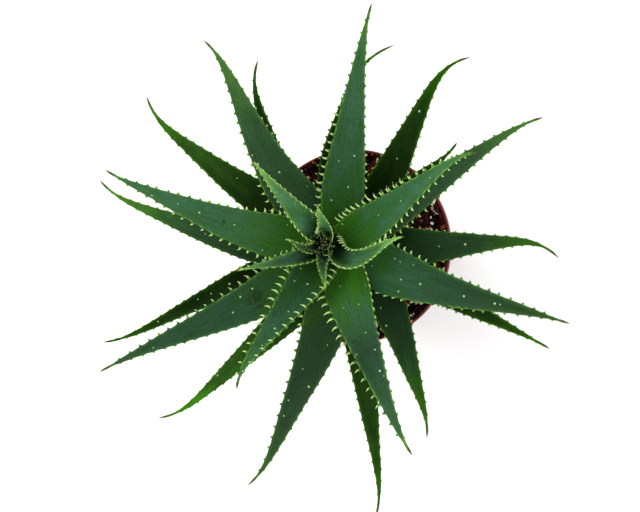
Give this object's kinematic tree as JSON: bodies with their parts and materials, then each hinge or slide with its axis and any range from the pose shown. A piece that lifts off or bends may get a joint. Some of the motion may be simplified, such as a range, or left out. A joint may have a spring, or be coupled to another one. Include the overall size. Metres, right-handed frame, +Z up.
{
  "type": "potted aloe plant",
  "caption": "Aloe rosette of long tapering leaves with toothed edges, on a short leaning stem in a round terracotta-coloured plastic pot of bark mix.",
  "frame": {"origin": "centre of the pot's flat underside, on the surface that the pot stands on", "axes": "+Z up along the pot's axis; the crown of the rosette leans towards -X"},
  "size_m": [0.3573, 0.3672, 0.2745],
  "materials": {
    "terracotta_plastic": "smooth moulded terracotta-coloured plastic",
    "potting_mix": "rough dark bark mix with white perlite",
    "stem_green": "dry, ringed by old leaf bases",
    "leaf_green": "smooth waxy bloom, pale teeth along the edges"
  },
  "bodies": {
    "root": {"pot": "terracotta_plastic", "soil": "potting_mix", "stem": "stem_green", "heart_leaf_1": "leaf_green", "heart_leaf_2": "leaf_green", "heart_leaf_3": "leaf_green", "inner_leaf_1": "leaf_green", "inner_leaf_2": "leaf_green", "inner_leaf_3": "leaf_green", "inner_leaf_4": "leaf_green", "inner_leaf_5": "leaf_green", "inner_leaf_6": "leaf_green", "upper_leaf_1": "leaf_green", "upper_leaf_2": "leaf_green", "upper_leaf_3": "leaf_green", "upper_leaf_4": "leaf_green", "upper_leaf_5": "leaf_green", "upper_leaf_6": "leaf_green", "upper_leaf_7": "leaf_green", "middle_leaf_1": "leaf_green", "middle_leaf_2": "leaf_green", "middle_leaf_3": "leaf_green", "lower_leaf_1": "leaf_green", "lower_leaf_2": "leaf_green", "lower_leaf_3": "leaf_green", "lower_leaf_4": "leaf_green", "lower_leaf_5": "leaf_green", "lower_leaf_6": "leaf_green", "lower_leaf_7": "leaf_green", "lower_leaf_8": "leaf_green", "lower_leaf_9": "leaf_green", "lower_leaf_10": "leaf_green", "lower_leaf_11": "leaf_green", "lower_leaf_12": "leaf_green"}
  },
  "joints": []
}
